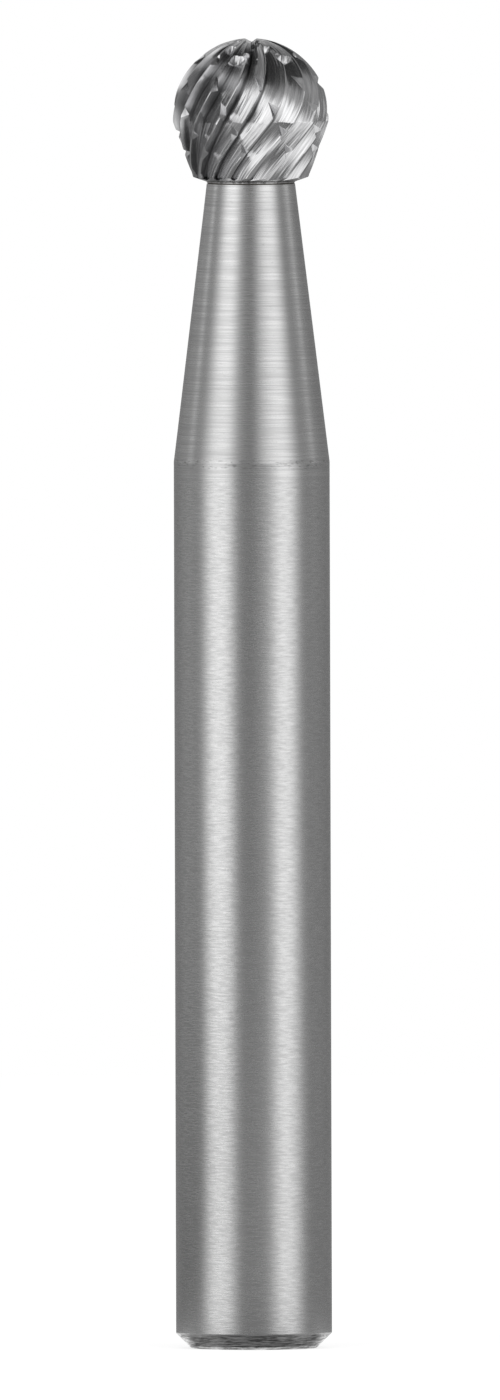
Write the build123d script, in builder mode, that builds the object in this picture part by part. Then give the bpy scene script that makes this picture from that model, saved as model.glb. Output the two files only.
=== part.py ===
from build123d import *
from math import asin, atan, cos, degrees, pi, radians, sin, sqrt, tan
import os

# Ball-nosed carbide burr on a 6 mm shank: a steel shank, a film of silver
# solder and a fluted tungsten-carbide ball.  The axis is Z, the origin is the
# centre of the shank's flat end, and the cutting ball points up.

# ---- overall ---------------------------------------------------------------
overall_length = 50.4

# ---- shank: turned steel, centreless ground over the grip ------------------
shank_diameter = 6.0
shoulder_height = 34.1          # where the grip cylinder turns into the taper
shoulder_blend = 6.0            # radius of the soft turn at that shoulder
end_chamfer_height = 0.58
end_chamfer_width = 0.60
end_edge_round = 0.08           # worn edges either side of the chamfer
neck_diameter = 3.4             # thin end of the taper, under the head

# ---- silver-solder film between steel and carbide --------------------------
solder_thickness = 0.05
solder_recess = 0.03            # how far the film sits back from the neck

# ---- carbide blank ---------------------------------------------------------
ball_diameter = 6.0
belt_drop = 0.2                 # ball centre down to the start of the skirt
skirt_half_angle = 19.7
tooth_end_drop = 2.33           # ball centre down to the tooth ends
underside_slope = 19.0          # the tooth ends fall away to the neck
neck_ring_height = 0.03         # plain ring under them, above the brazed face

# ---- main flutes: right-hand helix, right-hand cut -------------------------
flute_groups = 6                # each holds a short, a long and a middle flute
flute_depth = 0.40              # at the belt, less where the teeth crowd
narrowest_pitch = 0.42          # the wheel cuts no narrower than this near the tip
tooth_land = 0.035              # narrow strip of ball left behind each edge
rake_share = 0.13               # share of a flute's width under its rake face
flank_hollow = 0.03             # how far the back of a tooth is dished
heel_clear = 0.012              # how far a tooth's back ends above the ball
edge_longitude = 21.2           # where a cutting edge would start at the tip
edge_lag = 25.0                 # degrees that it has fallen back by the equator
lag_growth = 2.2                # power of the polar angle that the lag follows
short_flute_start = 37.0        # polar angles where the flutes leave the ball,
middle_flute_start = 24.0       # staggered so that the teeth don't crowd at
long_flute_start = 10.0         # the tip

# ---- chip breakers: shallow left-hand notches across the teeth -------------
breaker_count = 9
breaker_depth = 0.27
breaker_width = 0.66
breaker_longitude = 21.0        # where one of them crosses the equator
breaker_lead = 0.48             # degrees round for each degree down
breaker_start = 33.0            # polar angles where it comes out of the head
breaker_end = 128.0

# ---- notch ground across the tip -------------------------------------------
tip_notch_width = 0.50
tip_notch_depth = 0.17
tip_notch_longitude = -3.0

# ---- sizes that follow from the ones above ---------------------------------
shank_radius = shank_diameter / 2
neck_radius = neck_diameter / 2
ball_radius = ball_diameter / 2
ball_height = overall_length - ball_radius
skirt_taper = tan(radians(skirt_half_angle))
belt_radius = sqrt(ball_radius**2 - belt_drop**2)
belt_polar_angle = 90 + degrees(asin(belt_drop / ball_radius))
skirt_radius_at_centre = belt_radius + belt_drop * skirt_taper
tooth_end_radius = skirt_radius_at_centre - tooth_end_drop * skirt_taper
underside_fall = (tooth_end_radius - neck_radius) * tan(radians(underside_slope))
underside_drop = tooth_end_drop + underside_fall
seam_drop = underside_drop + neck_ring_height
seam_height = ball_height - seam_drop
solder_height = seam_height - solder_thickness
solder_radius = neck_radius - solder_recess
flute_count = 3 * flute_groups
belt_pitch = pi * ball_diameter / flute_count
cutter_overrun = 0.12           # how far each cutter stands proud of the blank
lift_out = 6                    # degrees in which a cutter rises out of the blank
flute_stations = 10             # sections that a flute's and a breaker's cutter
breaker_stations = 8            # are lofted through, apart from their ends
flute_end_drop = seam_drop + flute_depth
flute_end_radius = skirt_radius_at_centre - flute_end_drop * skirt_taper
flute_end = 180 - degrees(atan(flute_end_radius / flute_end_drop))


def blank_reach(polar_angle):
    """Distance from the ball's centre to the ball, or to the skirt run on past its end."""
    if polar_angle <= belt_polar_angle:
        return ball_radius
    theta = radians(polar_angle)
    return skirt_radius_at_centre / (sin(theta) - cos(theta) * skirt_taper)


def cutter_plane(polar_angle, longitude):
    """A plane through the ball's centre, with X round the ball and Y straight out of it.

    The polar angle is counted down from the tip, the longitude from -Y towards +X.
    """
    theta = radians(polar_angle)
    phi = radians(longitude - 90)
    outward = Vector(sin(theta) * cos(phi), sin(theta) * sin(phi), cos(theta))
    downward = Vector(cos(theta) * cos(phi), cos(theta) * sin(phi), -sin(theta))
    around = Vector(-sin(phi), cos(phi), 0)
    origin = Vector(0, 0, ball_height) + outward * blank_reach(polar_angle)
    return Plane(origin=origin, x_dir=around, z_dir=downward)


def even_steps(first, last, count):
    return [first + (last - first) * index / (count - 1) for index in range(count)]


def flute_cutter(start):
    """One flute as the wheel leaves it: a steep rake face and a dished tooth back."""
    with BuildPart() as cutter:
        for station in [start] + even_steps(start + lift_out, flute_end, flute_stations):
            reach = blank_reach(station)
            pitch = belt_pitch * sin(radians(station)) * reach / ball_radius
            width = max(pitch, narrowest_pitch) - tooth_land
            depth = flute_depth * sqrt(width / belt_pitch)
            if station == start:
                depth = -cutter_overrun / 2
            ball_fall = reach - sqrt(reach**2 - width**2)
            foot = (rake_share * width, -depth)
            heel = (width, max(heel_clear - ball_fall, 2 * heel_clear - depth))
            dish = ((foot[0] + heel[0]) / 2, (foot[1] + heel[1]) / 2 - flank_hollow)
            lag = edge_lag * (station / 90) ** lag_growth
            with BuildSketch(cutter_plane(station, edge_longitude - lag)):
                with BuildLine():
                    Line((0, cutter_overrun), foot)
                    ThreePointArc(foot, dish, heel)
                    Line(heel, (width, cutter_overrun))
                    Line((width, cutter_overrun), (0, cutter_overrun))
                make_face()
        loft()
    return cutter.part


def breaker_cutter():
    """One chip breaker: an even V that winds the other way and stays shallow."""
    with BuildPart() as cutter:
        middle_stations = even_steps(
            breaker_start + lift_out, breaker_end - lift_out, breaker_stations
        )
        for station in [breaker_start] + middle_stations + [breaker_end]:
            crowding = sqrt(sin(radians(station)))
            half_width = crowding * breaker_width / 2
            depth = crowding * breaker_depth
            if station in (breaker_start, breaker_end):
                depth = -cutter_overrun / 2
            longitude = breaker_longitude + breaker_lead * (station - 90)
            with BuildSketch(cutter_plane(station, longitude)):
                with BuildLine():
                    Polyline(
                        (-half_width, cutter_overrun),
                        (0, -depth),
                        (half_width, cutter_overrun),
                        close=True,
                    )
                make_face()
        loft()
    return cutter.part


# ---- shank -----------------------------------------------------------------
with BuildPart() as shank:
    with BuildSketch(Plane.XZ) as half_section:
        with BuildLine():
            Polyline(
                (0, 0),
                (shank_radius - end_chamfer_width, 0),
                (shank_radius, end_chamfer_height),
                (shank_radius, shoulder_height),
                (neck_radius, solder_height),
                (0, solder_height),
                close=True,
            )
        make_face()
        chamfer_top, shoulder = half_section.vertices().group_by(Axis.X)[-1].sort_by(Axis.Y)
        chamfer_foot = half_section.vertices().group_by(Axis.Y)[0].sort_by(Axis.X)[-1]
        fillet([chamfer_foot, chamfer_top], end_edge_round)
        fillet(shoulder, shoulder_blend)
    revolve(axis=Axis.Z)
shank.part.label = "shank"

# ---- solder film, in one flat layer between the two flat faces --------------
with BuildPart() as solder_film:
    with BuildSketch(Plane.XY.offset(solder_height)):
        Circle(solder_radius)
    extrude(amount=solder_thickness)
solder_film.part.label = "solder_film"

# ---- cutting head: a ground blank, then flutes, breakers and tip notch ------
flutes = [flute_cutter(start) for start in (middle_flute_start, short_flute_start, long_flute_start)]
breaker = breaker_cutter()
tip_direction = radians(tip_notch_longitude - 90)
tip = Vector(0, 0, ball_height + ball_radius)
tip_plane = Plane(
    origin=tip,
    x_dir=(-sin(tip_direction), cos(tip_direction), 0),
    z_dir=(cos(tip_direction), sin(tip_direction), 0),
)
with BuildPart() as cutting_head:
    with BuildSketch(Plane.XZ):
        with BuildLine():
            belt = (belt_radius, ball_height - belt_drop)
            tooth_end = (tooth_end_radius, ball_height - tooth_end_drop)
            CenterArc((0, ball_height), ball_radius, 90, -belt_polar_angle)
            Polyline(
                belt,
                tooth_end,
                (neck_radius, ball_height - underside_drop),
                (neck_radius, seam_height),
                (0, seam_height),
                (0, ball_height + ball_radius),
            )
        make_face()
    revolve(axis=Axis.Z)
    for place, flute in enumerate(flutes):
        with PolarLocations(0, flute_groups, start_angle=place * 360 / flute_count):
            add(flute, mode=Mode.SUBTRACT)
    with PolarLocations(0, breaker_count):
        add(breaker, mode=Mode.SUBTRACT)
    with BuildSketch(tip_plane):
        with BuildLine():
            Polyline(
                (-tip_notch_width / 2, 0),
                (0, -tip_notch_depth),
                (tip_notch_width / 2, 0),
                (0, tip_notch_depth),
                close=True,
            )
        make_face()
    extrude(amount=ball_radius / 2, both=True, mode=Mode.SUBTRACT)
cutting_head.part.label = "cutting_head"

os.makedirs("parts", exist_ok=True)
for piece in (shank, solder_film, cutting_head):
    export_step(piece.part, f"parts/{piece.part.label}.step")
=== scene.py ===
import math

import bpy
import numpy as np
from mathutils import Matrix, Vector


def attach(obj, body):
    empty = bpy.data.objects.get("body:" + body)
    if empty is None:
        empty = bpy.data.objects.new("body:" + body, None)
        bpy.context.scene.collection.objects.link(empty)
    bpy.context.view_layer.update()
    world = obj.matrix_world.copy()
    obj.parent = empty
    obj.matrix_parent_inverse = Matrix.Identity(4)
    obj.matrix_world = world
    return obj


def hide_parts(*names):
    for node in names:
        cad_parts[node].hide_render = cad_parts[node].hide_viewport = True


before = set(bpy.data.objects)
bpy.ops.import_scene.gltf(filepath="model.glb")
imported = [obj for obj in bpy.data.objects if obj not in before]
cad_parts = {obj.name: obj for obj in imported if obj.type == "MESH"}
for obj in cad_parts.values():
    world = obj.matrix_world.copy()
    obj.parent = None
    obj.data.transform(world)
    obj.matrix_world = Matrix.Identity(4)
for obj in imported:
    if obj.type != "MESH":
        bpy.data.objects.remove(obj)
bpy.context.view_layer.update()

# ---- white room and floor -------------------------------------------------
# A white room round a sheet of white paper on which the tool stands.  The
# paper is plain, so it takes a soft shadow round the shank's end.
MM = 0.001                              # metres in one mm


def linear(hex_colour):
    """An sRGB hex colour as linear RGBA."""
    channels = [int(hex_colour[i:i + 2], 16) / 255 for i in (1, 3, 5)]
    return [c / 12.92 if c <= 0.04045 else ((c + 0.055) / 1.055) ** 2.4 for c in channels] + [1.0]


def add_node(tree, kind, settings=None, **links):
    """Adds a shader node.  A link is a value or another node's output for the input
    of that name, or by its place for i0, i1 and so on."""
    node = tree.nodes.new("ShaderNode" + kind)
    for name, value in (settings or {}).items():
        setattr(node, name, value)
    for name, value in links.items():
        by_place = name[0] == "i" and name[1:].isdigit()
        socket = node.inputs[int(name[1:]) if by_place else name]
        if isinstance(value, bpy.types.NodeSocket):
            tree.links.new(value, socket)
        else:
            socket.default_value = value
    return node


def new_material(name):
    material = bpy.data.materials.new(name)
    material.use_nodes = True
    material.node_tree.nodes.clear()
    return material, material.node_tree


def link_surface(tree, shader_output, kind="OutputMaterial"):
    output = tree.nodes.new("ShaderNode" + kind)
    tree.links.new(shader_output, output.inputs["Surface"])


def new_piece(name, points_mm, faces):
    """A mesh object from points in mm."""
    mesh = bpy.data.meshes.new(name)
    mesh.from_pydata((np.asarray(points_mm, dtype=float) * MM).tolist(), [], faces)
    piece = bpy.data.objects.new(name, mesh)
    bpy.context.scene.collection.objects.link(piece)
    return piece


def white_seen(tree):
    """1 on camera, glossy and transmission rays, 0 on the rays that carry light."""
    path = add_node(tree, "LightPath")
    seen = add_node(tree, "Math", {"operation": "MAXIMUM"},
                    i0=path.outputs["Is Camera Ray"], i1=path.outputs["Is Glossy Ray"])
    seen = add_node(tree, "Math", {"operation": "MAXIMUM"},
                    i0=seen.outputs[0], i1=path.outputs["Is Transmission Ray"])
    return seen.outputs[0]


world = bpy.data.worlds.new("white_room")
bpy.context.scene.world = world
world.use_nodes = True
world.node_tree.nodes.clear()
room_fill = 0.75
strength = add_node(world.node_tree, "MapRange", None, Value=white_seen(world.node_tree),
                    **{"To Min": room_fill, "To Max": 1.0})
background = add_node(world.node_tree, "Background", None, Color=linear("#FFFFFF"),
                      Strength=strength.outputs[0])
link_surface(world.node_tree, background.outputs[0], "OutputWorld")

floor_half = 300.0
paper_shine_through = 0.80
floor_corners = [(-floor_half, -floor_half, 0), (floor_half, -floor_half, 0),
                 (floor_half, floor_half, 0), (-floor_half, floor_half, 0)]
floor = new_piece("floor", floor_corners, [(0, 1, 2, 3)])
paper, tree = new_material("white_paper_sheet")
lit = add_node(tree, "BsdfDiffuse", None, Color=linear("#FFFFFF"))
glow = add_node(tree, "Emission", None, Color=linear("#FFFFFF"), Strength=white_seen(tree))
sheet = add_node(tree, "MixShader", None, Fac=paper_shine_through,
                 i1=lit.outputs[0], i2=glow.outputs[0])
link_surface(tree, sheet.outputs[0])
floor.data.materials.append(paper)


# ---- light tent -----------------------------------------------------------
# A round tent of cloth stands close about the tool, and only metal
# mirrors it.  The cloth glows by itself, at a painted level: a dim grey
# over most of it, and painted light and shade in some panels, with soft
# edges, as if lamps behind it lit them.  Azimuth 0 is the camera's side,
# and positive is to its right.
tent_radius = 160.0
tent_height = 330.0
tent_cloth_level = 0.24
# Each panel is: middle azimuth, half width, soft edge in degrees; lower and
# upper level, soft edge in mm; brightness.  A level is a height up the wall;
# below 0 it runs in over the floor, and above the wall over the roof.
tent_panels = (
    (0, 181, 1, 290, 600, 80, 0.04),        # the roof, unlit
    (30, 60, 40, 190, 285, 40, 0.40),       # cloth that catches some light under it
    (-90, 40, 30, -40, 80, 60, 0.33),       # side walls
    (90, 40, 30, -40, 80, 60, 0.29),
    (-150, 30, 30, 60, 200, 60, 0.50),      # cloth behind to the left
    (-50, 20, 30, -100, 205, 30, 1.42),     # left window
    (-60, 20, 24, 44, 58, 16, 0.55),        # its cross-bar
    (49, 18, 30, -105, 60, 40, 1.30),       # right window, which leans in
    (42, 20, 30, 60, 118, 40, 1.45),        # towards its top
    (18, 9, 20, 43, 61, 14, 1.30),          # its wing, in front
    (-2, 8, 14, 62, 112, 24, 0.06),         # a shaded strip between the windows
    (-55, 38, 24, 112, 215, 40, 1.50),      # lit cloth high on the left
    (10, 28, 24, 118, 198, 40, 1.60),       # and above the camera
    (108, 14, 14, 82, 125, 30, 1.60),       # bright strip behind to the right
    (-105, 5, 6, 50, 90, 40, 0.85),         # thin strips behind to either side
    (105, 4, 6, 50, 90, 40, 0.75),
    (180, 16, 14, 60, 140, 40, 0.60),       # back wall
    (-100, 32, 30, -135, -75, 30, 0.08),    # floor: dark to the left,
    (-45, 25, 20, -120, -75, 30, 0.20),
    (10, 22, 30, -140, -65, 30, 0.38),      # dim in front,
    (66, 16, 20, -112, -50, 30, 1.05),      # bright to the right
    (-50, 22, 30, -150, -122, 14, 1.12),    # lit again close to the tool's foot,
    (49, 20, 30, -150, -122, 14, 1.12),
    (180, 105, 30, -170, -156, 12, 1.80),   # and closer still behind it
)


def soft_span(distance, half_width, edge):
    """1 within the half width of 0, falling smoothly to 0 across the soft edge."""
    rise = np.clip((half_width - np.abs(distance)) / edge + 0.5, 0, 1)
    return rise * rise * (3 - 2 * rise)


def ring_faces(ring_count, columns):
    """Four-sided faces between closed rings of points, ring after ring."""
    faces = []
    for ring in range(ring_count - 1):
        for column in range(columns):
            beside = (column + 1) % columns
            faces.append((ring * columns + column, (ring + 1) * columns + column,
                          (ring + 1) * columns + beside, ring * columns + beside))
    return faces


tent_columns = 180
ring_gap = 8.0
off_paper = 0.1                         # the cloth's foot lies just over the paper
floor_rings = np.arange(0, tent_radius, ring_gap)
wall_rings = np.arange(0, tent_height, ring_gap)
ring_radius = np.concatenate([floor_rings, np.full(len(wall_rings), tent_radius), floor_rings[::-1]])
ring_height = np.concatenate([np.full(len(floor_rings), off_paper), wall_rings + off_paper,
                              np.full(len(floor_rings), tent_height)])
ring_level = np.concatenate([floor_rings - tent_radius, wall_rings,
                             tent_height + tent_radius - floor_rings[::-1]])
azimuth = np.arange(tent_columns) * 360 / tent_columns
turn = np.radians(azimuth)[None, :]
points = np.stack(np.broadcast_arrays(
    ring_radius[:, None] * np.sin(turn), -ring_radius[:, None] * np.cos(turn), ring_height[:, None]
), axis=-1)
brightness = np.full((len(ring_level), tent_columns), tent_cloth_level)
for middle, half_width, edge, low, high, fade, level in tent_panels:
    round_it = soft_span((azimuth - middle + 180) % 360 - 180, half_width, edge)[None, :]
    up_it = soft_span(ring_level - (low + high) / 2, (high - low) / 2, fade)[:, None]
    brightness += (level - brightness) * round_it * up_it
tent = new_piece("light_tent", points.reshape(-1, 3), ring_faces(len(ring_level), tent_columns))
glow_level = tent.data.attributes.new("glow_level", "FLOAT", "POINT")
glow_level.data.foreach_set("value", brightness.ravel().astype(np.float32))
cloth, tree = new_material("grey_tent_cloth")
level = add_node(tree, "Attribute", {"attribute_name": "glow_level"})
glow = add_node(tree, "Emission", None, Color=linear("#FFFFFF"), Strength=level.outputs["Fac"])
link_surface(tree, glow.outputs[0])
cloth.cycles.emission_sampling = "NONE"
tent.data.materials.append(cloth)
tent.visible_camera = False
tent.visible_diffuse = False
tent.visible_shadow = False
tent.visible_transmission = False


# ---- lamps ----------------------------------------------------------------
# Two softboxes, in front to either side, light the floor round the tool.
softbox_elevation = math.radians(50)
softbox_distance = 600.0
softbox_size = (0.50, 0.40)
softbox_power = 1.6
softbox_aim = Vector((0, 0, 30.0))
for name, azimuth in (("right_softbox", 38), ("left_softbox", -38)):
    lamp = bpy.data.lights.new(name, "AREA")
    lamp.shape = "RECTANGLE"
    lamp.size, lamp.size_y = softbox_size
    lamp.energy = softbox_power
    softbox = bpy.data.objects.new(name, lamp)
    bpy.context.scene.collection.objects.link(softbox)
    turn, level = math.radians(azimuth), math.cos(softbox_elevation)
    direction = Vector((math.sin(turn) * level, -math.cos(turn) * level, math.sin(softbox_elevation)))
    softbox.location = (softbox_aim + direction * softbox_distance) * MM
    softbox.rotation_euler = direction.to_track_quat("Z", "Y").to_euler()
    softbox.visible_glossy = False

# ---- camera ---------------------------------------------------------------
# A long lens far off, so its rays are taken as parallel.  It stands square in
# front of the tool and a little above level, and leans a trace to one side.
picture_height = 1400
pixels_per_mm = 26.0
camera_elevation = 2.0
camera_roll = -0.156
camera_distance = 0.5
camera_data = bpy.data.cameras.new("camera")
camera_data.type = "ORTHO"
camera_data.ortho_scale = picture_height / pixels_per_mm * MM
camera = bpy.data.objects.new("camera", camera_data)
bpy.context.scene.collection.objects.link(camera)
aim = Vector((-0.088, 0, 24.93)) * MM
rise = math.radians(camera_elevation)
back = Vector((0, -math.cos(rise), math.sin(rise)))
camera.location = aim + back * camera_distance
camera.rotation_mode = "QUATERNION"
level_view = back.to_track_quat("Z", "Y")
roll = Matrix.Rotation(math.radians(camera_roll), 4, back).to_quaternion()
camera.rotation_quaternion = roll @ level_view
camera_data.clip_start = 0.01
camera_data.clip_end = 5
bpy.context.scene.camera = camera
bpy.context.scene.view_settings.view_transform = "Standard"

# ---- shank ----------------------------------------------------------------
# Hardened tool steel, turned to a taper and then centreless ground over its
# grip.  The tool marks all run round it, and a rough turned chamfer ends it.
grip_top = 34.1
run_out_foot = 33.5                     # the grinding wheel lets go from here up
chamfer_top = 0.6

steel, tree = new_material("turned_and_centreless_ground_steel")
place = add_node(tree, "TexCoord")
place = add_node(tree, "VectorMath", {"operation": "SCALE"}, i0=place.outputs["Object"], Scale=1 / MM)
place = place.outputs[0]
height = add_node(tree, "SeparateXYZ", None, Vector=place).outputs["Z"]
# Grinding lines of a few hundredths of a mm, in streaks of about half a mm.
# They are drawn a little coarser than they are, so that they can be seen.
ground = add_node(tree, "VectorMath", {"operation": "MULTIPLY"}, i0=place, i1=(2.2, 2.2, 15.0))
ground = add_node(tree, "TexNoise", None, Vector=ground.outputs[0], Scale=1.0,
                  Detail=3.0, Roughness=0.65)
# Turning lines, a tenth of a mm apart and less, run on round the taper.
turned = add_node(tree, "VectorMath", {"operation": "MULTIPLY"}, i0=place, i1=(0.30, 0.30, 16.0))
turned = add_node(tree, "TexNoise", None, Vector=turned.outputs[0], Scale=1.0,
                  Detail=2.0, Roughness=0.6)
on_taper = add_node(tree, "MapRange", None, Value=height,
                    **{"From Min": run_out_foot - 0.02, "From Max": run_out_foot + 0.02})
lines = add_node(tree, "Mix", None, i0=on_taper.outputs[0], i2=ground.outputs[0], i3=turned.outputs[0])
brightness = add_node(tree, "MapRange", None, Value=lines.outputs[0],
                      **{"From Min": 0.3, "From Max": 0.7, "To Min": 0.80, "To Max": 1.06})
# Where the wheel lets go it leaves a band of short dark ticks.
ticks = add_node(tree, "VectorMath", {"operation": "MULTIPLY"}, i0=place, i1=(5.0, 5.0, 15.0))
ticks = add_node(tree, "TexNoise", None, Vector=ticks.outputs[0], Scale=1.0, Detail=2.0)
ticks = add_node(tree, "MapRange", None, Value=ticks.outputs[0],
                 **{"From Min": 0.54, "From Max": 0.66})
from_band = add_node(tree, "Math", {"operation": "SUBTRACT"}, i0=height, i1=grip_top - 0.02)
from_band = add_node(tree, "Math", {"operation": "ABSOLUTE"}, i0=from_band.outputs[0])
in_band = add_node(tree, "MapRange", None, Value=from_band.outputs[0],
                   **{"From Min": 0.22, "From Max": 0.10})
ticks = add_node(tree, "Math", {"operation": "MULTIPLY"}, i0=ticks.outputs[0], i1=in_band.outputs[0])
# Specks of rust and dirt that the grinding left are a few hundredths of a mm.
specks = add_node(tree, "VectorMath", {"operation": "MULTIPLY"}, i0=place, i1=(6.0, 6.0, 9.0))
specks = add_node(tree, "TexNoise", None, Vector=specks.outputs[0], Scale=1.0,
                  Detail=2.0, Roughness=0.7)
specks = add_node(tree, "MapRange", None, Value=specks.outputs[0],
                  **{"From Min": 0.66, "From Max": 0.74, "To Max": 0.35})
dirt = add_node(tree, "Math", {"operation": "MAXIMUM"}, i0=ticks.outputs[0], i1=specks.outputs[0])
dirt = add_node(tree, "MapRange", None, Value=dirt.outputs[0], **{"To Min": 1.0, "To Max": 0.62})
brightness = add_node(tree, "Math", {"operation": "MULTIPLY"},
                      i0=brightness.outputs[0], i1=dirt.outputs[0])
# The chamfer is torn into dull scales that lie round it.
scales = add_node(tree, "VectorMath", {"operation": "MULTIPLY"}, i0=place, i1=(1.6, 1.6, 19.0))
scales = add_node(tree, "TexNoise", None, Vector=scales.outputs[0], Scale=1.0,
                  Detail=4.0, Roughness=0.7)
on_chamfer = add_node(tree, "MapRange", None, Value=height,
                      **{"From Min": chamfer_top + 0.02, "From Max": chamfer_top - 0.06})
torn = add_node(tree, "MapRange", None, Value=scales.outputs[0],
                **{"From Min": 0.40, "From Max": 0.62, "To Min": 0.20, "To Max": 1.10})
brightness = add_node(tree, "Mix", None, i0=on_chamfer.outputs[0],
                      i2=brightness.outputs[0], i3=torn.outputs[0])
colour = add_node(tree, "Mix", {"data_type": "RGBA", "blend_type": "MULTIPLY"}, i0=1.0,
                  i6=linear("#D2D2D2"), i7=brightness.outputs[0])
roughness = add_node(tree, "MapRange", None, Value=lines.outputs[0],
                     **{"From Min": 0.3, "From Max": 0.7, "To Min": 0.31, "To Max": 0.24})
roughness = add_node(tree, "Mix", None, i0=on_chamfer.outputs[0], i2=roughness.outputs[0], i3=0.38)
relief = add_node(tree, "Mix", None, i0=on_chamfer.outputs[0], i2=lines.outputs[0], i3=scales.outputs[0])
# Turned and ground faces are true to the axis, so the shading is taken square
# to it from the place on the surface, and no flat or seam of the mesh shows.
lean = add_node(tree, "NewGeometry").outputs["Normal"]
lean = add_node(tree, "SeparateXYZ", None, Vector=lean).outputs["Z"]
reach = add_node(tree, "Math", {"operation": "MULTIPLY"}, i0=lean, i1=lean)
reach = add_node(tree, "Math", {"operation": "SUBTRACT", "use_clamp": True},
                 i0=1.0, i1=reach.outputs[0])
reach = add_node(tree, "Math", {"operation": "SQRT"}, i0=reach.outputs[0])
outward = add_node(tree, "VectorMath", {"operation": "MULTIPLY"}, i0=place, i1=(1.0, 1.0, 0.0))
outward = add_node(tree, "VectorMath", {"operation": "NORMALIZE"}, i0=outward.outputs[0])
outward = add_node(tree, "VectorMath", {"operation": "SCALE"},
                   i0=outward.outputs[0], Scale=reach.outputs[0])
upward = add_node(tree, "CombineXYZ", None, Z=lean)
facing = add_node(tree, "VectorMath", {"operation": "ADD"},
                  i0=outward.outputs[0], i1=upward.outputs[0])
relief = add_node(tree, "Bump", None, Height=relief.outputs[0], Strength=1.0, Distance=0.004 * MM,
                  Normal=facing.outputs[0])
round_it = add_node(tree, "Tangent", {"direction_type": "RADIAL", "axis": "Z"})
shader = add_node(tree, "BsdfPrincipled", None, Metallic=1.0, Anisotropic=0.35,
                  Roughness=roughness.outputs[0], Normal=relief.outputs[0], Tangent=round_it.outputs[0],
                  **{"Base Color": colour.outputs[2], "Anisotropic Rotation": 0.25})
link_surface(tree, shader.outputs[0])
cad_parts["shank"].material_slots[0].material = steel

# ---- solder film ----------------------------------------------------------
# Silver solder squeezed into a film a twentieth of a mm thick between steel
# and carbide.  It was never cleaned up, so it is dull and dark from the flux.
solder, tree = new_material("oxidised_silver_solder")
place = add_node(tree, "TexCoord")
place = add_node(tree, "VectorMath", {"operation": "SCALE"}, i0=place.outputs["Object"], Scale=1 / MM)
stain = add_node(tree, "TexNoise", None, Vector=place.outputs[0], Scale=3.5, Detail=3.0, Roughness=0.6)
colour = add_node(tree, "Mix", {"data_type": "RGBA"}, i0=stain.outputs[0],
                  i6=linear("#3A3733"), i7=linear("#716C64"))
roughness = add_node(tree, "MapRange", None, Value=stain.outputs[0], **{"To Min": 0.60, "To Max": 0.45})
relief = add_node(tree, "Bump", None, Height=stain.outputs[0], Strength=1.0, Distance=0.01 * MM)
shader = add_node(tree, "BsdfPrincipled", None, Metallic=1.0, Roughness=roughness.outputs[0],
                  Normal=relief.outputs[0], **{"Base Color": colour.outputs[2]})
link_surface(tree, shader.outputs[0])
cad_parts["solder_film"].material_slots[0].material = solder

# ---- cutting head ---------------------------------------------------------
# One piece of tungsten carbide: a ball with a tapered skirt, ground into 18
# right-hand flutes, crossed by nine shallow left-hand chip breakers and
# notched once across its tip.  It is brazed to the shank by its flat back.
ball_radius = 3.0
ball_height = 47.4
belt_drop = 0.2
skirt_taper = math.tan(math.radians(19.7))
tooth_end_drop = 2.33
underside_slope = math.tan(math.radians(19.0))
neck_ring_height = 0.03
neck_radius = 1.7
flute_count = 18
flute_depth = 0.40
narrowest_pitch = 0.42
tooth_land = 0.035
rake_share = 0.13
flank_hollow = 0.03
heel_clear = 0.012
edge_longitude = 21.2
edge_lag = 25.0
lag_growth = 2.2
flute_starts = (24.0, 37.0, 10.0)       # middle, short and long flutes in turn
lift_out = 6.0
breaker_count = 9
breaker_depth = 0.27
breaker_width = 0.66
breaker_longitude = 21.0
breaker_lead = 0.48
breaker_ends = (33.0, 128.0)
tip_notch_width = 0.50
tip_notch_depth = 0.17
tip_notch_longitude = -3.0
overrun = 0.12                          # how far the wheel's profile stands proud

belt_radius = math.sqrt(ball_radius**2 - belt_drop**2)
belt_angle = 90 + math.degrees(math.asin(belt_drop / ball_radius))
skirt_radius_at_centre = belt_radius + belt_drop * skirt_taper
tooth_end_radius = skirt_radius_at_centre - tooth_end_drop * skirt_taper
seam_drop = tooth_end_drop + (tooth_end_radius - neck_radius) * underside_slope + neck_ring_height
belt_pitch = 2 * math.pi * ball_radius / flute_count


def blank_reach(polar):
    """Distance in mm from the ball's centre to the blank, at polar angles in degrees."""
    theta = np.radians(polar)
    skirt = skirt_radius_at_centre / (np.sin(theta) - np.cos(theta) * skirt_taper)
    return np.where(polar <= belt_angle, ball_radius, skirt)


def edge_at(station):
    return edge_longitude - edge_lag * (station / 90) ** lag_growth


def flute_size(station, start):
    """Reach of the blank, and pitch, width and depth of a flute, at a polar angle."""
    reach = blank_reach(station)
    pitch = belt_pitch * np.sin(np.radians(station)) * reach / ball_radius
    width = np.maximum(pitch, narrowest_pitch) - tooth_land
    full = flute_depth * np.sqrt(width / belt_pitch)
    entry = np.clip((station - start) / lift_out, -1, 1)
    depth = -overrun / 2 + (full + overrun / 2) * np.sin(entry * np.pi / 2)
    return reach, pitch, width, depth


def flute_floor(x, reach, width, depth):
    """Height of the wheel's profile above the ball at x mm along it from the cutting edge."""
    foot_x = rake_share * width
    fall = reach - np.sqrt(np.maximum(reach**2 - width**2, 0.01))
    heel_y = np.maximum(heel_clear - fall, 2 * heel_clear - depth)
    rake = overrun - (overrun + depth) * x / foot_x
    share = np.clip((x - foot_x) / (width - foot_x), 0, 1)
    back = -depth + (heel_y + depth) * share - 4 * flank_hollow * share * (1 - share)
    floor_line = np.where(x < foot_x, rake, back)
    return np.where((x < 0) | (x > width), overrun, floor_line)


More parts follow.
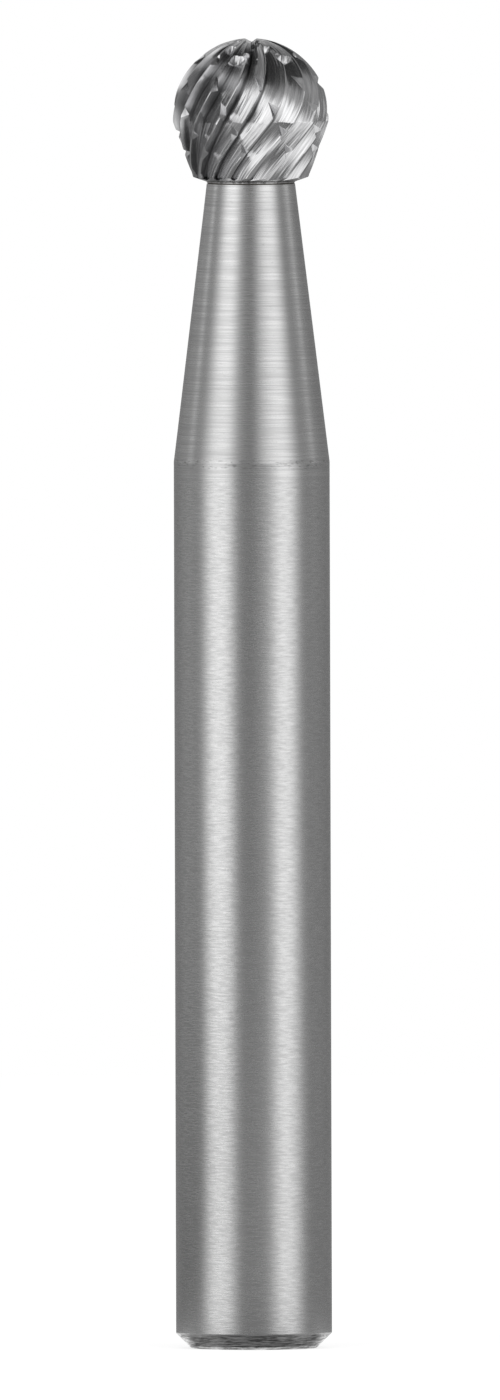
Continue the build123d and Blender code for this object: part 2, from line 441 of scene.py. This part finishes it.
def head_reach(polar, longitude):
    """Distance in mm from the ball's centre to the fluted surface, in the given directions."""
    surface = blank_reach(polar)
    for tooth in range(flute_count):
        turn = 360 * tooth / flute_count
        offset = (longitude - turn - edge_at(polar) + 180) % 360 - 180
        # A flute reaches no further round from its edge than this, in degrees.
        near = (offset > -30) & (offset < 150)
        near &= np.abs(offset) * np.sin(np.radians(polar)) < 32
        p = polar[near]
        direction = edge_at(p) + offset[near]
        # The wheel's profile stands in a plane through the ball's centre, so the
        # plane that holds this direction is found first, and then its profile.
        station = p.copy()
        for _ in range(8):
            around = np.radians(np.clip(direction - edge_at(station), -70, 70))
            sideways = np.arctan(np.tan(around) * np.sin(np.radians(station)))
            lift = np.clip(np.cos(np.radians(p)) / np.cos(sideways), -1, 1)
            station = np.degrees(np.arccos(lift))
        base, _, width, depth = flute_size(station, flute_starts[tooth % 3])
        cut = base.copy()
        for _ in range(4):
            cut = (base + flute_floor(cut * np.sin(sideways), base, width, depth)) / np.cos(sideways)
        surface[near] = np.minimum(surface[near], cut)
    return surface


def to_points(polar, longitude, distance):
    """Points in mm from the ball's centre, for directions in degrees."""
    theta, phi = np.radians(polar), np.radians(longitude - 90)
    return np.stack([distance * np.sin(theta) * np.cos(phi),
                     distance * np.sin(theta) * np.sin(phi), distance * np.cos(theta)], axis=-1)


# Columns of the mesh follow the flutes: one lies on each cutting edge, foot
# and heel, and a few on the rake, the tooth's back and the land behind it.
edge_part = rake_share * overrun / (overrun + flute_depth)
rake_columns, back_columns = 5, 17
parts = np.concatenate([np.linspace(edge_part, rake_share, rake_columns),
                        np.linspace(rake_share, 1, back_columns)[1:], [1.5]])
columns = flute_count * len(parts)
column_part = np.tile(parts, flute_count)
column_turn = np.repeat(np.arange(flute_count) * 360 / flute_count, len(parts))


def wheel_direction(station, part):
    """Direction of a point of the wheel's profile, from 0 before its edge to 1 at its heel."""
    reach, pitch, width, _ = flute_size(station, 0)
    depth = flute_depth * np.sqrt(width / belt_pitch)
    x = part * np.minimum(width, pitch * (1 - tooth_land / belt_pitch))
    y = np.minimum(flute_floor(x, reach, width, depth), 0)
    theta = np.radians(station)
    outward = (reach + y) * np.sin(theta)
    polar = np.degrees(np.arctan2(np.hypot(outward, x), (reach + y) * np.cos(theta)))
    return polar, edge_at(station) + np.degrees(np.arctan2(x, outward))


def teeth_points(station):
    """Points on the fluted surface, a column each, for stations with a row each."""
    part = np.broadcast_to(column_part, station.shape)
    polar, longitude = wheel_direction(station, np.minimum(part, 1))
    next_polar, next_longitude = wheel_direction(station, np.full(station.shape, edge_part))
    on_land = np.clip(part - 1, 0, 1)
    polar = polar + (next_polar - polar) * on_land
    longitude = longitude + (next_longitude + 360 / flute_count - longitude) * on_land + column_turn
    reach = head_reach(polar.ravel(), longitude.ravel()).reshape(polar.shape)
    return to_points(polar, longitude, reach)


def underside_level(radius):
    """Height of the tooth ends under the ball's centre, at a distance from the axis."""
    return -tooth_end_drop - (tooth_end_radius - radius) * underside_slope


# Where each column runs out through the tooth ends is found by halving, from
# two polar angles that lie well above and well below them.
low, high = np.full((1, columns), 120.0), np.full((1, columns), 152.0)
for _ in range(22):
    middle = (low + high) / 2
    point = teeth_points(middle)
    outside = point[..., 2] > underside_level(np.hypot(point[..., 0], point[..., 1]))
    low, high = np.where(outside, middle, low), np.where(outside, high, middle)
rows = 190
first_station = 0.5
share = np.linspace(0, 1, rows)[:, None]
station = first_station + (low - first_station) * share
rings = [teeth_points(station)]
rim = rings[0][-1]
rim_radius = np.hypot(rim[:, 0], rim[:, 1])[:, None]
outward = rim[:, :2] / rim_radius
# Rings under the teeth: down to the neck in steps, then in over the flat back.
for step in (0.35, 0.7, 1.0):
    ring_radius = rim_radius + (neck_radius - rim_radius) * step
    rings.append(np.concatenate([outward * ring_radius, underside_level(ring_radius)], axis=1)[None])
for ring_radius in (neck_radius, neck_radius / 2):
    level = np.full((columns, 1), -seam_drop)
    rings.append(np.concatenate([outward * ring_radius, level], axis=1)[None])
grid = np.concatenate(rings)
ring_count = len(grid)
points = np.concatenate([grid.reshape(-1, 3), [grid[0].mean(axis=0), [0, 0, -seam_drop]]])
faces = ring_faces(ring_count, columns)
tip_index, back_index = ring_count * columns, ring_count * columns + 1
for column in range(columns):
    beside = (column + 1) % columns
    faces.append((tip_index, column, beside))
    faces.append((back_index, (ring_count - 1) * columns + beside, (ring_count - 1) * columns + column))
head = new_piece("fluted_head", points + [0, 0, ball_height], faces)


def corner_points(piece):
    """Which point each corner of a piece's faces stands on."""
    point = np.zeros(len(piece.data.loops), dtype=int)
    piece.data.loops.foreach_get("vertex_index", point)
    return point


def lay_grain(piece, across, along):
    """Keeps, for each corner, how far in mm it lies across and along the wheel's travel."""
    layer = piece.data.uv_layers.new(name="wheel_travel")
    layer.data.foreach_set("uv", np.stack([across, along], axis=-1).astype(np.float32).ravel())


ring_of, column_of = np.divmod(np.minimum(corner_points(head), tip_index - 1), columns)
across_column = (column_turn / 360 * flute_count + np.minimum(column_part, 1)) * belt_pitch
flute_length = math.radians(140) * ball_radius
underside_gap = 0.1
along_ring = np.linspace(0, flute_length, rows)
under_teeth = along_ring[-1] + underside_gap * np.arange(1, ring_count - rows + 1)
along_ring = np.concatenate([along_ring, under_teeth])
lay_grain(head, across_column[column_of], along_ring[ring_of])

# The chip breakers and the tip notch are cut by solids of their own.
breaker_steps = 49
station = np.linspace(breaker_ends[0], breaker_ends[1], breaker_steps)
reach = blank_reach(station)
crowding = np.sqrt(np.sin(np.radians(station)))
rise = np.clip(np.minimum(station - breaker_ends[0], breaker_ends[1] - station) / lift_out, 0, 1)
depth = -overrun / 2 + (breaker_depth * crowding + overrun / 2) * np.sin(rise * np.pi / 2)
half_width = breaker_width / 2 * crowding
cutter_points, cutter_faces = [], []
for breaker in range(breaker_count):
    longitude = 360 * breaker / breaker_count + breaker_longitude + breaker_lead * (station - 90)
    outward = to_points(station, longitude, 1.0)
    phi = np.radians(longitude - 90)
    around = np.stack([-np.sin(phi), np.cos(phi), 0 * phi], axis=-1)
    first = len(cutter_points)
    for step in range(breaker_steps):
        for x, y in ((-half_width[step], overrun), (0, -depth[step]), (half_width[step], overrun)):
            cutter_points.append(outward[step] * (reach[step] + y) + around[step] * x)
    for step in range(breaker_steps - 1):
        here = first + 3 * step
        for corner in range(3):
            beside = (corner + 1) % 3
            cutter_faces.append((here + corner, here + beside, here + 3 + beside, here + 3 + corner))
    last = first + 3 * (breaker_steps - 1)
    cutter_faces += [(first + 2, first + 1, first), (last, last + 1, last + 2)]
notch_turn = math.radians(tip_notch_longitude - 90)
along_notch = np.array([math.cos(notch_turn), math.sin(notch_turn), 0])
across_notch = np.array([-math.sin(notch_turn), math.cos(notch_turn), 0])
notch_profile = ((-tip_notch_width / 2, 0), (0, -tip_notch_depth),
                 (tip_notch_width / 2, 0), (0, tip_notch_depth))
first = len(cutter_points)
for end in (-1, 1):
    for x, y in notch_profile:
        place = along_notch * end * ball_radius / 2 + across_notch * x
        cutter_points.append(place + np.array([0, 0, ball_radius + y]))
for corner in range(4):
    beside = (corner + 1) % 4
    cutter_faces.append((first + corner, first + beside, first + 4 + beside, first + 4 + corner))
cutter_faces += [(first + 3, first + 2, first + 1, first), (first + 4, first + 5, first + 6, first + 7)]
cutters = new_piece("wheel_passes", np.array(cutter_points) + [0, 0, ball_height], cutter_faces)
# The lines in a breaker run along it, and start well clear of a flute's foot,
# so that the shade painted at a flute's foot stays off them.
corner_point = corner_points(cutters)
lay_grain(cutters, 0.5 + (corner_point % 3) * 0.2, corner_point // 3 * 0.1)
cut = head.modifiers.new("wheel_passes", "BOOLEAN")
cut.operation = "DIFFERENCE"
cut.solver = "EXACT"
cut.object = cutters
shaped = bpy.data.meshes.new_from_object(head.evaluated_get(bpy.context.evaluated_depsgraph_get()))
head.modifiers.clear()
head.data = shaped
bpy.data.objects.remove(cutters)
shaped.polygons.foreach_set("use_smooth", [True] * len(shaped.polygons))
shaped.set_sharp_from_angle(angle=math.radians(24))

# Fine-grained carbide under a diamond wheel keeps a near-mirror face, combed
# into lines that run down each flute.  The real lines are a hundredth of a
# mm wide; here they are drawn up to a tenth, so that they can be seen.
carbide, tree = new_material("diamond_ground_carbide")
travel = add_node(tree, "UVMap", {"uv_map": "wheel_travel"}).outputs[0]
waves = add_node(tree, "VectorMath", {"operation": "MULTIPLY"}, i0=travel, i1=(3.2, 0.35, 1.0))
waves = add_node(tree, "TexNoise", None, Vector=waves.outputs[0], Scale=1.0, Detail=2.0)
lines = add_node(tree, "VectorMath", {"operation": "MULTIPLY"}, i0=travel, i1=(11.0, 0.5, 1.0))
lines = add_node(tree, "TexNoise", None, Vector=lines.outputs[0], Scale=1.0,
                 Detail=3.0, Roughness=0.65)
polish = add_node(tree, "MapRange", None, Value=lines.outputs[0], **{"From Min": 0.3, "From Max": 0.7})
colour = add_node(tree, "Mix", {"data_type": "RGBA"}, i0=polish.outputs[0],
                  i6=linear("#BEBEBF"), i7=linear("#DCDCDD"))
# Painted shade: the foot of each flute is darkened in the colour, in a
# ragged band, as shade would fall in it.
in_flute = add_node(tree, "SeparateXYZ", None, Vector=travel).outputs["X"]
in_flute = add_node(tree, "Math", {"operation": "DIVIDE"}, i0=in_flute, i1=belt_pitch)
in_flute = add_node(tree, "Math", {"operation": "FRACT"}, i0=in_flute.outputs[0])
from_foot = add_node(tree, "Math", {"operation": "SUBTRACT"}, i0=in_flute.outputs[0], i1=rake_share)
from_foot = add_node(tree, "Math", {"operation": "ABSOLUTE"}, i0=from_foot.outputs[0])
ragged = add_node(tree, "MapRange", None, Value=waves.outputs[0], **{"To Min": 0.02, "To Max": 0.13})
painted_foot_shade = add_node(tree, "Math", {"operation": "DIVIDE"}, i0=from_foot.outputs[0], i1=ragged.outputs[0])
painted_foot_shade = add_node(tree, "MapRange", None, Value=painted_foot_shade.outputs[0],
                  **{"From Min": 1.3, "From Max": 0.4, "To Max": 0.68})
colour = add_node(tree, "Mix", {"data_type": "RGBA"}, i0=painted_foot_shade.outputs[0],
                  i6=colour.outputs[2], i7=linear("#4A4A4B"))
roughness = add_node(tree, "MapRange", None, Value=lines.outputs[0],
                     **{"From Min": 0.3, "From Max": 0.7, "To Min": 0.24, "To Max": 0.15})
relief = add_node(tree, "Bump", None, Height=waves.outputs[0], Strength=1.0, Distance=0.045 * MM)
relief = add_node(tree, "Bump", None, Height=lines.outputs[0], Strength=1.0, Distance=0.0022 * MM,
                  Normal=relief.outputs[0])
# The back of the head, next to the solder, is darker and duller.
place = add_node(tree, "TexCoord")
height = add_node(tree, "SeparateXYZ", None, Vector=place.outputs["Object"]).outputs["Z"]
seam_height = ball_height - seam_drop
darker_by_seam = add_node(tree, "MapRange", None, Value=height,
                    **{"From Min": (seam_height + 0.10) * MM,
                       "From Max": (seam_height + 0.03) * MM, "To Max": 0.3})
colour = add_node(tree, "Mix", {"data_type": "RGBA"}, i0=darker_by_seam.outputs[0],
                  i6=colour.outputs[2], i7=linear("#6B6864"))
roughness = add_node(tree, "Mix", None, i0=darker_by_seam.outputs[0], i2=roughness.outputs[0], i3=0.5)
down_flute = add_node(tree, "Tangent", {"direction_type": "UV_MAP", "uv_map": "wheel_travel"})
shader = add_node(tree, "BsdfPrincipled", None, Metallic=1.0, Anisotropic=0.5,
                  Roughness=roughness.outputs[0], Normal=relief.outputs[0],
                  Tangent=down_flute.outputs[0], **{"Base Color": colour.outputs[2]})
link_surface(tree, shader.outputs[0])
shaped.materials.clear()
shaped.materials.append(carbide)
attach(head, "root")
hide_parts("cutting_head")
